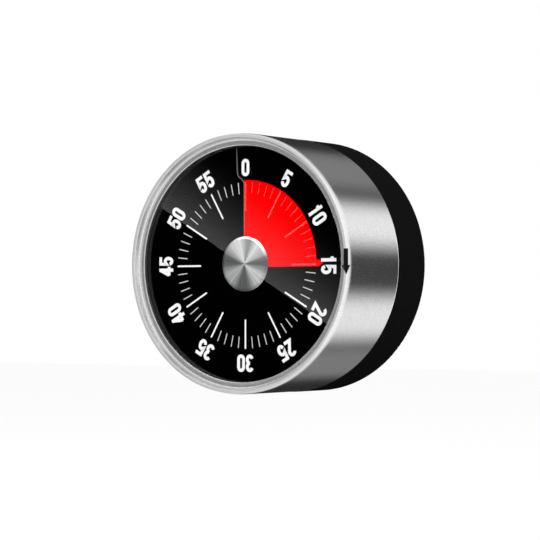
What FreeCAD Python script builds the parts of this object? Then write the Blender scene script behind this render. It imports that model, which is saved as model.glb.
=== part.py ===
import FreeCAD, Part
import math
import os

from FreeCAD import Vector

# A wind-up 60 minute visual timer with a magnetic back. Every piece is laid out with x to the right, y to
# 12 o'clock and z towards the reader, measured from the back face, and is stood upright when it is saved.

# Overall sizes
overall_depth = 46.4
ring_length = 30.1
ring_radius = 39.0
housing_step = 0.1
running_gap = 0.05
press_gap = 0.05

# Steel bezel ring
steel_wall = 0.8
bead_width = 1.8
bead_shoulder = 3.0
bead_taper = 0.28
bead_rise = 0.55
bead_fillet = 0.55
lip_step = 2.2
lip_foot_fillet = 0.5
lip_width = 3.54
lip_edge_chamfer = 0.15
rear_bevel_length = 0.7
rear_bevel_depth = 0.15

# Stack under the lip, from the front backwards
lens_thickness = 1.2
lens_overlap = 1.14
lens_gap = 1.05
cap_height = 0.35
film_thickness = 0.12
film_gap = 0.08
dial_thickness = 0.6
film_recess_depth = 0.5
front_wall = 1.4

# Dial, slit and red film
dial_gap = 0.2
dial_bore = 2.7
number_band = 9.9
film_bore = 3.0
film_lead = 1.0
tab_reach = 2.3
tab_width = 1.95
tab_shoulder = 0.9
tab_root = 1.0
recess_margin = 1.0
slit_width = 0.4
slit_offset = -0.3
slit_bend = [(-0.3, -1.0), (-0.7, -0.2), (-1.4, 0.5), (-2.2, 1.05), (-2.65, 1.7), (-2.8, 2.6), (-3.1, 10.8)]
slit_margin = 0.3

# Hub cap
cap_radius = 8.25
cap_bevel_width = 0.75
cap_bevel_height = 0.3
cap_boss_radius = 2.2
cap_web = 0.35

# Ring carrier and inner case
carrier_wall = 1.8
ledge_clearance = 0.1
ledge_show = 0.16
case_wall = 1.6
bearing_gap = 0.1
bearing_relief = 0.4
bearing_length = 3.0
glide_thickness = 0.25
glide_width = 2.0
flange_thickness = 1.4
ear_radius = 3.2
ear_height = 3.0
ear_cap = 0.6

# Rear housing
housing_wall = 2.0
housing_back_wall = 2.0
housing_edge_fillet = 1.0
foot_stand_off = 0.3
magnet_radius = 12.0
magnet_thickness = 2.2
magnet_cover = 1.8
magnet_skin = 0.6
grip_width = 3.0
grip_thickness = 1.0
grip_border = 2.7
ear_gap = 0.25
case_screw_count = 3
case_screw_direction = 60.0
case_boss_radius = 2.8
case_screw_radius = 1.1
case_screw_head_radius = 2.1
case_screw_head_height = 1.5
case_screw_recess = 5.0
screw_end_gap = 0.4
drive_depth = 0.7
drive_width = 0.5
drive_share = 0.6
sound_hole_radius = 1.0
sound_hole_count = 9

# Movement plates and pillars
plate_radius = 29.5
plate_thickness = 1.0
plate_spacing = 13.0
plate_stand_off = 1.1
pillar_circle = 27.0
pillar_angles = [66.0, 135.0, 215.0, 305.0]
pillar_radius = 1.6
pillar_neck_radius = 1.1
nut_across_flats = 4.0
nut_height = 1.4
fixing_screw_radius = 0.8
fixing_screw_depth = 4.0
fixing_head_radius = 1.7
fixing_head_height = 0.8
fixing_boss_radius = 2.7

# Main arbor and mainspring
arbor_radius = 1.5
arbor_tip_radius = 1.0
arbor_hub_radius = 2.5
bush_radius = 2.6
bush_length = 1.8
arbor_tail = 0.5
end_shake = 0.2
spring_strip = 0.35
spring_height = 5.0
spring_turns = 6
spring_inner_radius = 3.0
spring_outer_radius = 12.2
spring_tail = 9.5
spring_direction = -25.0
spring_post_radius = 1.2
spring_end_gap = 0.8

# Wheel train: teeth, module and where each arbor stands
pressure_angle = 20.0
pinion_leaves = 8
leaf_shift = 0.5
longest_addendum = 1.2
dedendum = 1.25
backlash = 0.12
great_teeth = 60
great_module = 0.5
second_teeth = 48
second_module = 0.45
third_teeth = 48
third_module = 0.4
second_direction = 0.0
third_circle = 17.0
escape_circle = 20.0
train_pivot_radius = 0.5
train_arbor_radius = 0.9
pinion_overhang = 0.4
great_thickness = 1.0
wheel_thickness = 0.7
crossing_arms = 4
crossing_arm_width = 1.6
crossing_rim = 1.7
crossing_hub = 2.2
crossing_direction = 45.0

# Heights of the wheels above the back plate
second_wheel_height = 6.6
great_wheel_height = 9.2
third_wheel_height = 11.4
escape_wheel_height = 3.0

# Escapement
escape_teeth = 15
escape_radius = 6.0
escape_tooth_depth = 2.0
escape_lean = 7.0
pallet_distance = 8.5
pallet_circle = 20.0
pallet_spread = 35.0
pallet_pin_radius = 0.4
pallet_clearance = 0.7
pallet_arm_width = 1.5
pallet_lift = 0.3
inertia_arm = 6.0
inertia_weight_radius = 1.3

# Ratchet and click
ratchet_teeth = 16
ratchet_radius = 5.2
ratchet_tooth_depth = 0.9
ratchet_lean = 3.0
ratchet_thickness = 1.0
click_pivot_circle = 9.0
click_pivot_direction = 220.0
click_nose_direction = 185.0
click_width = 1.6
click_rivet_radius = 0.6

# Bell, hammer and release cam
bell_side_gap = 2.5
bell_front_gap = 0.5
bell_wall = 0.8
bell_corner_share = 0.53
bell_boss_radius = 4.0
bell_boss_height = 2.0
bell_screw_radius = 1.2
bell_screw_head_radius = 2.6
bell_screw_head_height = 1.4
cam_radius = 4.2
cam_thickness = 1.5
cam_notch_depth = 1.2
cam_notch_width = 2.4
cam_drop = 4.0
rest_turn = 90.0
hammer_pivot_circle = 13.4
hammer_pivot_direction = 250.0
hammer_pin_radius = 0.9
pin_head_radius = 1.6
pin_head_height = 0.6
hammer_head_radius = 1.8
hammer_head_direction = 206.0
hammer_lift = 1.45
hammer_thickness = 1.2
hammer_width = 2.4
hammer_reach = 4.0
tail_pin_radius = 0.8
tail_gap = 0.95
tail_direction = 275.0

# Heights measured from the back face
lip_front = overall_depth - lip_step
lens_front = lip_front - steel_wall
lens_back = lens_front - lens_thickness
cap_front = lens_back - lens_gap
cap_back = cap_front - cap_height
film_front_low = cap_back - film_thickness
dial_front = film_front_low - film_gap
dial_back = dial_front - dial_thickness
film_back_high = dial_back - film_gap
recess_floor = dial_back - film_recess_depth
front_wall_back = recess_floor - front_wall
front_plate_front = front_wall_back - plate_stand_off
front_plate_back = front_plate_front - plate_thickness
back_plate_front = front_plate_back - plate_spacing
back_plate_back = back_plate_front - plate_thickness
ring_rear = overall_depth - ring_length
housing_depth = ring_rear - glide_thickness - running_gap
housing_floor = foot_stand_off + housing_back_wall
ear_low = housing_depth - flange_thickness
magnet_seat = magnet_thickness + magnet_cover
bell_seat = magnet_seat + bell_boss_height
bell_height = housing_depth - bell_front_gap - bell_seat
bell_corner = bell_height * bell_corner_share

# Radii that follow from the ones above
lip_inner_radius = ring_radius - lip_width
lens_radius = lip_inner_radius + lens_overlap
ledge_inner_radius = lip_inner_radius - ledge_show
dial_radius = ledge_inner_radius - dial_gap
film_radius = dial_radius - number_band
carrier_radius = ring_radius - steel_wall - press_gap
carrier_inner = carrier_radius - carrier_wall
case_radius = carrier_inner - bearing_relief - bearing_gap
case_inner = case_radius - case_wall
housing_radius = ring_radius + housing_step
housing_inner = housing_radius - housing_wall
case_screw_circle = case_inner - ear_radius - ear_gap
bell_radius = case_screw_circle - case_boss_radius - bell_side_gap
grip_inner_radius = case_screw_circle - case_screw_head_radius - press_gap - grip_border - grip_width
sound_hole_circle = (magnet_radius + magnet_cover + grip_inner_radius) / 2


def clock(radius, degrees, centre=(0.0, 0.0)):
    """The point at a radius from a centre, in degrees clockwise from 12 o'clock."""
    angle = math.radians(degrees)
    return (centre[0] + radius * math.sin(angle), centre[1] + radius * math.cos(angle))


def direction(a, b):
    """Degrees counter-clockwise from the x axis, looking from a to b."""
    return math.degrees(math.atan2(b[1] - a[1], b[0] - a[0]))


def swung(x, y, degrees):
    """A point turned counter-clockwise about the origin."""
    angle = math.radians(degrees)
    return (x * math.cos(angle) - y * math.sin(angle), x * math.sin(angle) + y * math.cos(angle))


def disc(radius, low, high, centre=(0.0, 0.0)):
    return Part.makeCylinder(radius, high - low, Vector(centre[0], centre[1], low))


def tube(outer, inner, low, high, centre=(0.0, 0.0)):
    return disc(outer, low, high, centre).cut(disc(inner, low, high, centre))


def prism(points, low, high):
    """A straight-sided block on a closed outline."""
    corners = [Vector(x, y, low) for x, y in points]
    face = Part.Face(Part.makePolygon(corners + corners[:1]))
    return face.extrude(Vector(0, 0, high - low))


def bar(start, end, width, low, high):
    """A flat bar with round ends from one point to another."""
    along = math.radians(direction(start, end))
    side = (-math.sin(along) * width / 2, math.cos(along) * width / 2)
    outline = [
        (start[0] + side[0], start[1] + side[1]),
        (start[0] - side[0], start[1] - side[1]),
        (end[0] - side[0], end[1] - side[1]),
        (end[0] + side[0], end[1] + side[1]),
    ]
    body = prism(outline, low, high)
    return body.fuse([disc(width / 2, low, high, start), disc(width / 2, low, high, end)])


def turned(outline):
    """A solid of revolution about the z axis on a closed outline of (radius, height) corners."""
    corners = [Vector(r, 0, z) for r, z in outline]
    face = Part.Face(Part.makePolygon(corners + corners[:1]))
    return face.revolve(Vector(0, 0, 0), Vector(0, 0, 1), 360)


def edges_near(solid, radius, height):
    """The round edges of a turned solid that lie at a radius and height."""
    found = []
    for edge in solid.Edges:
        place = edge.valueAt(edge.FirstParameter)
        here = abs(math.hypot(place.x, place.y) - radius) < 1e-4 and abs(place.z - height) < 1e-4
        if here and isinstance(edge.Curve, Part.Circle):
            found.append(edge)
    return found


def joined(solids):
    """Several solids as one clean solid."""
    return solids[0].fuse(solids[1:]).removeSplitter()


def save(name, solids):
    """Stand a piece upright, so that its front faces -Y, and write it."""
    shape = Part.makeCompound(solids) if isinstance(solids, list) else solids
    shape.rotate(Vector(0, 0, 0), Vector(1, 0, 0), 90)
    shape.exportStep(f"parts/{name}.step")


# Steel ring

def steel_ring():
    """A turned cup: a straight side with a shallow bevel behind, a flat lip in front and a smooth bead that
    stands proud between them."""
    inner = ring_radius - steel_wall
    outer = ring_radius - bead_taper
    foot = ring_radius - bead_width
    shoulder = Part.Arc(Vector(ring_radius, 0, overall_depth - bead_shoulder),
                        Vector(ring_radius - bead_taper / 4, 0, overall_depth - bead_shoulder / 2),
                        Vector(outer, 0, overall_depth))
    corners = [Vector(r, 0, z) for r, z in (
        (outer, overall_depth), (foot + bead_rise, overall_depth), (foot, lip_front),
        (lip_inner_radius, lip_front), (lip_inner_radius, lens_front), (inner, lens_front),
        (inner, ring_rear), (ring_radius - rear_bevel_depth, ring_rear),
        (ring_radius, ring_rear + rear_bevel_length), (ring_radius, overall_depth - bead_shoulder),
    )]
    outline = Part.Wire([shoulder.toShape()] + Part.makePolygon(corners).Edges)
    ring = Part.Face(outline).revolve(Vector(0, 0, 0), Vector(0, 0, 1), 360)
    ring = ring.makeFillet(bead_fillet, edges_near(ring, outer, overall_depth))
    ring = ring.makeFillet(bead_fillet, edges_near(ring, foot + bead_rise, overall_depth))
    ring = ring.makeFillet(lip_foot_fillet, edges_near(ring, foot, lip_front))
    return ring.makeChamfer(lip_edge_chamfer, edges_near(ring, lip_inner_radius, lip_front))


def ring_carrier():
    """The sleeve inside the steel ring: lens seat and dark ledge in front, two bearing bands behind."""
    band = carrier_inner - bearing_relief
    ledge_back = dial_front + ledge_clearance
    rear_band = ring_rear + bearing_length
    front_band = ledge_back - bearing_length
    seat = lens_radius + press_gap
    return turned([
        (band, ring_rear), (carrier_radius, ring_rear), (carrier_radius, lens_front),
        (seat, lens_front), (seat, lens_back), (ledge_inner_radius, lens_back),
        (ledge_inner_radius, ledge_back), (carrier_inner, ledge_back), (carrier_inner, front_band),
        (band, front_band - bearing_relief), (band, front_band - bearing_length),
        (carrier_inner, front_band - bearing_length - bearing_relief),
        (carrier_inner, rear_band + bearing_relief), (band, rear_band),
    ])


def lens():
    return disc(lens_radius, lens_back, lens_front)


def hub_cap():
    """A flat spun cap with a wide bevel, and a boss behind it that takes the arbor's tip."""
    cap = turned([
        (0, cap_back), (cap_radius, cap_back), (cap_radius, cap_front - cap_bevel_height),
        (cap_radius - cap_bevel_width, cap_front), (0, cap_front),
    ])
    boss = disc(cap_boss_radius, boss_low, cap_back)
    return joined([cap, boss]).cut(disc(arbor_tip_radius, boss_low, cap_front - cap_web))


# Dial and film

def dial_plate():
    """The printed dial, with the slit that the red film comes through and that lets it be threaded in."""
    plate = tube(dial_radius, dial_bore, dial_back, dial_front)
    path = [(x, film_radius + y) for x, y in slit_bend]
    straight = ((slit_offset, 0.0), (slit_offset, film_radius + slit_margin))
    for start, end in [straight] + list(zip(path, path[1:])):
        plate = plate.cut(bar(start, end, slit_width, dial_back - 1, dial_front + 1))
    return plate


def red_film():
    """A thin disc cut from rim to bore: one quarter lies over the dial, goes down through the slit, and the
    rest lies behind it. The tab on its leading edge points at the time that is left."""
    half = film_thickness / 2
    reach = film_radius + tab_reach
    front_corner = [(slit_offset - half, -film_lead), (reach, -film_lead), (reach, reach),
                    (slit_offset - half, reach)]
    rear_corner = [(slit_offset + half, -film_lead), (reach, -film_lead), (reach, reach),
                   (slit_offset + half, reach)]
    front_high = cap_back
    back_low = film_back_high - film_thickness
    front = disc(film_radius, film_front_low, front_high)
    front = front.common(prism(front_corner, film_front_low, front_high))
    rear = disc(film_radius, back_low, film_back_high)
    rear = rear.cut(prism(rear_corner, back_low, film_back_high))
    tab = prism([(film_radius - tab_root, tab_width / 2), (film_radius - tab_root, -tab_width / 2),
                 (film_radius + tab_shoulder, -tab_width / 2), (reach, 0.0),
                 (film_radius + tab_shoulder, tab_width / 2)], film_front_low, front_high)
    web_top = math.sqrt(film_radius ** 2 - (abs(slit_offset) + half) ** 2)
    web = prism([(slit_offset - half, film_bore / 2), (slit_offset + half, film_bore / 2),
                 (slit_offset + half, web_top), (slit_offset - half, web_top)], back_low, front_high)
    return joined([front, rear, tab, web]).cut(disc(film_bore, back_low, front_high))


# Cases

def case_screw_places():
    step = 360.0 / case_screw_count
    return [clock(case_screw_circle, case_screw_direction + i * step) for i in range(case_screw_count)]


def pillar_places():
    return [clock(pillar_circle, angle) for angle in pillar_angles]


def inner_case():
    """The fixed drum that the ring turns on. Its front carries the dial and has the film's recess."""
    recess = film_radius + recess_margin
    flange_radius = housing_inner - press_gap
    drum = turned([
        (0, front_wall_back), (case_inner, front_wall_back), (case_inner, ear_low),
        (flange_radius, ear_low), (flange_radius, housing_depth), (case_radius, housing_depth),
        (case_radius, dial_back), (recess, dial_back), (recess, recess_floor), (0, recess_floor),
    ])
    pieces = [drum]
    for place in case_screw_places():
        ear = disc(ear_radius, ear_low, ear_low + ear_height, place)
        web = bar(place, clock(case_inner + case_wall / 2, math.degrees(math.atan2(*place))),
                  ear_radius * 2, ear_low, ear_low + ear_height)
        pieces += [ear, web.common(disc(case_radius, ear_low, ear_low + ear_height))]
    pieces += [disc(fixing_boss_radius, front_plate_front, front_wall_back, p) for p in pillar_places()]
    case = joined(pieces)
    for place in case_screw_places():
        case = case.cut(disc(case_screw_radius, ear_low, ear_low + ear_height - ear_cap, place))
    for place in pillar_places():
        case = case.cut(disc(fixing_screw_radius, front_plate_front, recess_floor, place))
        case = case.cut(disc(fixing_head_radius, recess_floor - fixing_head_height, dial_back, place))
    return case.cut(disc(bush_radius, front_wall_back, recess_floor))


def rear_housing():
    """The black cup behind the ring, with the magnet's pocket, screw bosses and the bell's seat."""
    cup = turned([
        (0, foot_stand_off), (housing_radius, foot_stand_off), (housing_radius, housing_depth),
        (housing_inner, housing_depth), (housing_inner, housing_floor), (0, housing_floor),
    ])
    cup = cup.makeFillet(housing_edge_fillet, edges_near(cup, housing_radius, foot_stand_off))
    pieces = [cup, disc(magnet_radius + magnet_cover, foot_stand_off, magnet_seat),
              disc(bell_boss_radius, foot_stand_off, bell_seat)]
    pieces += [disc(case_boss_radius, foot_stand_off, ear_low, p) for p in case_screw_places()]
    cup = joined(pieces)
    cup = cup.cut(disc(magnet_radius, 0, magnet_thickness))
    cup = cup.cut(tube(grip_inner_radius + grip_width, grip_inner_radius, 0, grip_thickness))
    cup = cup.cut(disc(bell_screw_radius, magnet_thickness + magnet_skin, bell_seat))
    for place in case_screw_places():
        cup = cup.cut(disc(case_screw_head_radius + press_gap, 0, case_screw_recess, place))
        cup = cup.cut(disc(case_screw_radius + press_gap, 0, ear_low, place))
    for i in range(sound_hole_count):
        place = clock(sound_hole_circle, i * 360.0 / sound_hole_count)
        cup = cup.cut(disc(sound_hole_radius, 0, housing_floor, place))
    return cup


def screw(place, seat, head_radius, head_height, shank_radius, length):
    """A pan-head screw whose head lies behind its seat and whose shank goes forwards, with a cross drive."""
    head = disc(head_radius, seat - head_height, seat, place)
    shank = disc(shank_radius, seat, seat + length, place)
    low = seat - head_height
    slot = head_radius * drive_share
    solid = joined([head, shank])
    for x, y in ((slot, 0.0), (0.0, slot)):
        solid = solid.cut(bar((place[0] - x, place[1] - y), (place[0] + x, place[1] + y), drive_width,
                              low, low + drive_depth))
    return solid


def case_screws():
    length = ear_low + ear_height - ear_cap - screw_end_gap - case_screw_recess
    return [screw(p, case_screw_recess, case_screw_head_radius, case_screw_head_height,
                  case_screw_radius, length) for p in case_screw_places()]


def back_magnet():
    return disc(magnet_radius - press_gap, 0, magnet_thickness)


def grip_ring():
    outer = grip_inner_radius + grip_width - press_gap
    return tube(outer, grip_inner_radius + press_gap, 0, grip_thickness)


def glide_ring():
    """The thin plastic washer that the ring slides on, over the joint of the two cases."""
    inner = case_radius + bearing_gap
    return tube(inner + glide_width, inner, housing_depth, housing_depth + glide_thickness)


# Movement frame

second_place = clock(great_module * (great_teeth + pinion_leaves) / 2, second_direction)


def next_place(centre, reach, circle):
    """Clockwise from a wheel's centre, the point at a given reach from it, on a circle about the arbor."""
    at = math.hypot(*centre)
    turn = math.acos((at ** 2 + circle ** 2 - reach ** 2) / (2 * at * circle))
    return clock(circle, math.degrees(math.atan2(*centre) + turn))


third_place = next_place(second_place, second_module * (second_teeth + pinion_leaves) / 2, third_circle)
escape_place = next_place(third_place, third_module * (third_teeth + pinion_leaves) / 2, escape_circle)
pallet_place = next_place(escape_place, pallet_distance, pallet_circle)
train_places = [second_place, third_place, escape_place, pallet_place]
hammer_pivot = clock(hammer_pivot_circle, hammer_pivot_direction)
spring_growth = (spring_outer_radius - spring_inner_radius) / (2 * spring_turns - 1)
spring_reach = spring_outer_radius + spring_growth + spring_strip + running_gap
spring_post_place = swung(-spring_reach - running_gap - spring_post_radius, spring_post_radius - spring_tail,
                          spring_direction)
bush_front = front_wall_back + bush_length
boss_low = bush_front + end_shake


def plate(low, arbor_hole):
    """A round plate with a pivot hole for each arbor and a hole for each pillar's neck."""
    shape = disc(plate_radius, low, low + plate_thickness)
    shape = shape.cut(disc(arbor_hole, low, low + plate_thickness))
    for place in train_places:
        shape = shape.cut(disc(train_pivot_radius + running_gap, low, low + plate_thickness, place))
    for place in pillar_places():
        shape = shape.cut(disc(pillar_neck_radius, low, low + plate_thickness, place))
    return shape.cut(disc(spring_post_radius / 2, low, low + plate_thickness, spring_post_place))


def front_plate():
    return plate(front_plate_back, arbor_radius + running_gap)


def back_plate():
    shape = plate(back_plate_back, arbor_radius + running_gap)
    return shape.cut(disc(hammer_pin_radius, back_plate_back, back_plate_front, hammer_pivot))


def pillars():
    """Shouldered posts between the plates, threaded at both ends."""
    posts = []
    for place in pillar_places():
        post = disc(pillar_radius, back_plate_front, front_plate_back, place)
        neck = disc(pillar_neck_radius, back_plate_back - nut_height, front_plate_front, place)
        hole = disc(fixing_screw_radius, front_plate_front - fixing_screw_depth, front_plate_front, place)
        posts.append(joined([post, neck]).cut(hole))
    return posts


def pillar_nuts():
    corner = nut_across_flats / math.sqrt(3)
    nuts = []
    for place in pillar_places():
        outline = [clock(corner, 60 * i, place) for i in range(6)]
        nut = prism(outline, back_plate_back - nut_height, back_plate_back)
        nuts.append(nut.cut(disc(pillar_neck_radius, back_plate_back - nut_height, back_plate_back, place)))
    return nuts


def movement_screws():
    """Flat-headed screws that go through the case's front into the pillars, under the dial."""
    screws = []
    for place in pillar_places():
        head = disc(fixing_head_radius - press_gap, recess_floor - fixing_head_height, recess_floor, place)
        shank = disc(fixing_screw_radius, front_plate_front - fixing_screw_depth + screw_end_gap,
                     recess_floor - fixing_head_height, place)
        screws.append(joined([head, shank]))
    return screws


def spring_post():
    """The post that the mainspring's outer end is hooked on."""
    post = disc(spring_post_radius, back_plate_front, front_plate_back, spring_post_place)
    pin = disc(spring_post_radius / 2, back_plate_back, front_plate_front, spring_post_place)
    return joined([post, pin])


def arbor_bush():
    return tube(bush_radius, arbor_radius + running_gap, front_wall_back, bush_front)


# Wheel train

def gear_outline(teeth, module, shift):
    """The flank of an involute tooth, as (radius, half the tooth in radians) from the root to the tip. The
    tip of a small pinion's leaf is cut back before it comes to a point."""
    pressure = math.radians(pressure_angle)
    pitch = module * teeth / 2
    base = pitch * math.cos(pressure)
    tip = pitch + module * min(1 + shift, longest_addendum)
    root = pitch - module * (dedendum - shift)

    def involute(radius):
        slant = math.acos(min(1.0, base / radius))
        return math.tan(slant) - slant

    thickness = module * (math.pi / 2 + 2 * shift * math.tan(pressure)) - backlash
    half_at_pitch = thickness / (2 * pitch)
    flank = [root, max(base, root), (max(base, root) + tip) / 2, tip]
    if flank[1] <= root:
        flank.pop(1)
    half = [half_at_pitch + involute(pitch) - involute(max(r, base)) for r in flank]
    return list(zip(flank, half))


def gear(centre, teeth, module, shift, low, high, first_tooth):
    """A spur gear whose first tooth points at first_tooth, in degrees counter-clockwise from the x axis."""
    flank = gear_outline(teeth, module, shift)
    outline = []
    for i in range(teeth):
        middle = math.radians(first_tooth) + 2 * math.pi * i / teeth
        corners = [(r, middle - half) for r, half in flank]
        corners += [(r, middle + half) for r, half in reversed(flank)]
        outline += [(centre[0] + r * math.cos(a), centre[1] + r * math.sin(a)) for r, a in corners]
    return prism(outline, low, high)


def crossed_out(wheel, centre, root_radius, low, high):
    """A wheel with its web cut away, leaving a rim, a hub and straight arms."""
    window = tube(root_radius - crossing_rim, crossing_hub, low, high, centre)
    for i in range(crossing_arms):
        end = clock(root_radius, 360.0 * i / crossing_arms + crossing_direction, centre)
        window = window.cut(bar(centre, end, crossing_arm_width, low, high))
    return wheel.cut(window)


def root_of(teeth, module):
    return module * (teeth / 2 - dedendum - leaf_shift)


def train_wheel(centre, mate, teeth, module, height, bore):
    """A stamped wheel with a tooth pointing at its mate, and a round hole for its arbor."""
    low = back_plate_front + height
    high = low + wheel_thickness
    wheel = gear(centre, teeth, module, -leaf_shift, low, high, direction(centre, mate))
    wheel = crossed_out(wheel, centre, root_of(teeth, module), low, high)
    return wheel.cut(disc(bore, low, high, centre))


def train_arbor(centre, mate, module, mate_height, mate_thickness):
    """An arbor with its pinion cut from the same bar. A gap between leaves faces the driving wheel."""
    pivots = disc(train_pivot_radius, back_plate_back, front_plate_front, centre)
    body = disc(train_arbor_radius, back_plate_front + end_shake, front_plate_back - end_shake,
                centre)
    low = back_plate_front + mate_height - pinion_overhang
    high = low + mate_thickness + 2 * pinion_overhang
    gap = direction(centre, mate) + 180.0 / pinion_leaves
    return joined([pivots, body, gear(centre, pinion_leaves, module, leaf_shift, low, high, gap)])


def great_wheel():
    """The driving wheel, riding on the arbor's hub, with a hole for the click's rivet."""
    low = back_plate_front + great_wheel_height
    high = low + great_thickness
    wheel = gear((0.0, 0.0), great_teeth, great_module, -leaf_shift, low, high,
                 direction((0.0, 0.0), second_place))
    wheel = wheel.cut(disc(arbor_hub_radius, low, high))
    return wheel.cut(disc(click_rivet_radius, low, high, click_pivot))


def second_wheel():
    return train_wheel(second_place, third_place, second_teeth, second_module, second_wheel_height,
                       train_arbor_radius)


def third_wheel():
    return train_wheel(third_place, escape_place, third_teeth, third_module, third_wheel_height,
                       train_arbor_radius)


def second_arbor():
    return train_arbor(second_place, (0.0, 0.0), great_module, great_wheel_height, great_thickness)


def third_arbor():
    return train_arbor(third_place, second_place, second_module, second_wheel_height, wheel_thickness)


def escape_arbor():
    return train_arbor(escape_place, third_place, third_module, third_wheel_height, wheel_thickness)


def saw_wheel(centre, teeth, radius, depth, lean, low, high, bore):
    """A wheel of pointed teeth that all lean one way."""
    outline = []
    for i in range(teeth):
        angle = 360.0 * i / teeth
        outline += [clock(radius, angle, centre), clock(radius - depth, angle + lean, centre)]
    return prism(outline, low, high).cut(disc(bore, low, high, centre))


def escape_wheel():
    low = back_plate_front + escape_wheel_height
    return saw_wheel(escape_place, escape_teeth, escape_radius, escape_tooth_depth, escape_lean, low,
                     low + wheel_thickness, train_arbor_radius)


def pallet_lever():
    """The rocking lever: two arms with upright pins that catch the escape wheel, and a weighted tail."""
    low = back_plate_front + escape_wheel_height + wheel_thickness + pallet_lift
    high = low + wheel_thickness
    pin_low = low - wheel_thickness - pallet_lift
    towards = direction(escape_place, pallet_place)
    reach = escape_radius + pallet_pin_radius + pallet_clearance
    pieces = [disc(pallet_arm_width, low, high, pallet_place)]
    for side in (-1, 1):
        angle = math.radians(towards + side * pallet_spread)
        pin = (escape_place[0] + reach * math.cos(angle), escape_place[1] + reach * math.sin(angle))
        pieces.append(bar(pallet_place, pin, pallet_arm_width, low, high))
        pieces.append(disc(pallet_pin_radius, pin_low, high, pin))
    away = math.radians(towards)
    weight = (pallet_place[0] + inertia_arm * math.cos(away), pallet_place[1] + inertia_arm * math.sin(away))
    pieces += [bar(pallet_place, weight, pallet_arm_width, low, high),
               disc(inertia_weight_radius, low - wheel_thickness, high, weight)]
    return joined(pieces).cut(disc(train_arbor_radius, low, high, pallet_place))


def pallet_arbor():
    body = disc(train_arbor_radius, back_plate_front + end_shake, front_plate_back - end_shake,
                pallet_place)
    return joined([body, disc(train_pivot_radius, back_plate_back, front_plate_front, pallet_place)])


# Main arbor

click_pivot = clock(click_pivot_circle, click_pivot_direction)
spring_low = back_plate_front + spring_end_gap
cam_low = back_plate_back - cam_drop


def main_arbor():
    """The stepped shaft from the release cam, through the spring and great wheel, to the hub cap."""
    shaft = disc(arbor_radius, cam_low - arbor_tail, bush_front)
    hub = disc(arbor_hub_radius, back_plate_front + end_shake, front_plate_back - end_shake)
    return joined([shaft, hub, disc(arbor_tip_radius, front_wall_back, cap_front - cap_web)])


def mainspring():
    """A strip wound in half turns, each about a centre that steps from side to side, with a straight tail."""
    radius = spring_inner_radius + spring_strip / 2 + running_gap
    centre = 0.0
    way = 1
    edges = []
    for i in range(2 * spring_turns):
        way = 1 if i % 2 == 0 else -1
        if i:
            centre += way * spring_growth
            radius += spring_growth
        for side in (-spring_strip / 2, spring_strip / 2):
            reach = way * (radius + side)
            arc = [Vector(centre - reach, 0, spring_low), Vector(centre, -reach, spring_low),
                   Vector(centre + reach, 0, spring_low)]
            edges.append(Part.Arc(*arc).toShape())
    inner_start, outer_start = (edge.Vertexes[0].Point for edge in edges[:2])
    inner_end, outer_end = (Vector(centre + way * (radius + side), 0, spring_low)
                            for side in (-spring_strip / 2, spring_strip / 2))
    tail = Vector(0, way * spring_tail, 0)
    for start, end in ((inner_start, outer_start), (inner_end, inner_end + tail),
                       (inner_end + tail, outer_end + tail), (outer_end + tail, outer_end)):
        edges.append(Part.LineSegment(start, end).toShape())
    outline = Part.Wire(Part.__sortEdges__(edges))
    strip = Part.Face(outline).extrude(Vector(0, 0, spring_height))
    strip.rotate(Vector(0, 0, 0), Vector(0, 0, 1), spring_direction)
    return strip


def ratchet_wheel():
    high = back_plate_front + great_wheel_height
    return saw_wheel((0.0, 0.0), ratchet_teeth, ratchet_radius, ratchet_tooth_depth, ratchet_lean,
                     high - ratchet_thickness, high, arbor_hub_radius)


def click():
    """The pawl riveted to the great wheel, whose nose drops behind a ratchet tooth."""
    high = back_plate_front + great_wheel_height
    low = high - ratchet_thickness
    nose = clock(ratchet_radius + click_width / 2, click_nose_direction)
    body = bar(click_pivot, nose, click_width, low, high)
    rivet = disc(click_rivet_radius, low, high + great_thickness, click_pivot)
    return joined([body, rivet])


def release_cam():
    """The round cam at the arbor's rear end. The hammer's tail falls into its notch when the time is up."""
    cam = tube(cam_radius, arbor_radius, cam_low, cam_low + cam_thickness)
    notch_at = tail_direction + rest_turn
    start = clock(cam_radius - cam_notch_depth, notch_at)
    end = clock(cam_radius + cam_notch_depth, notch_at)
    return cam.cut(bar(start, end, cam_notch_width, cam_low, cam_low + cam_thickness))


# Bell and hammer

def bell():
    """A drawn steel cup, open towards the movement, with a rounded corner and a centre hole."""
    rim = bell_seat + bell_height
    inner_floor = bell_seat + bell_wall
    inner = bell_radius - bell_wall
    cup = turned([
        (bell_screw_radius, bell_seat), (bell_radius, bell_seat), (bell_radius, rim), (inner, rim),
        (inner, inner_floor), (bell_screw_radius, inner_floor),
    ])
    cup = cup.makeFillet(bell_corner, edges_near(cup, bell_radius, bell_seat))
    return cup.makeFillet(bell_corner - bell_wall, edges_near(cup, inner, inner_floor))


def bell_screw():
    seat = bell_seat + bell_wall
    head = disc(bell_screw_head_radius, seat, seat + bell_screw_head_height)
    shank = disc(bell_screw_radius, magnet_thickness + magnet_skin + screw_end_gap, seat)
    slot = bar((-bell_screw_head_radius * 2, 0.0), (bell_screw_head_radius * 2, 0.0), drive_width,
               seat + bell_screw_head_height - drive_depth, seat + bell_screw_head_height)
    return joined([head, shank]).cut(slot)


def hammer_pin():
    """The post riveted in the back plate that the hammer swings on, with a head that keeps the lever on."""
    head_high = cam_low - running_gap
    head = disc(pin_head_radius, head_high - pin_head_height, head_high, hammer_pivot)
    return joined([head, disc(hammer_pin_radius, head_high, back_plate_front, hammer_pivot)])


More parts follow.
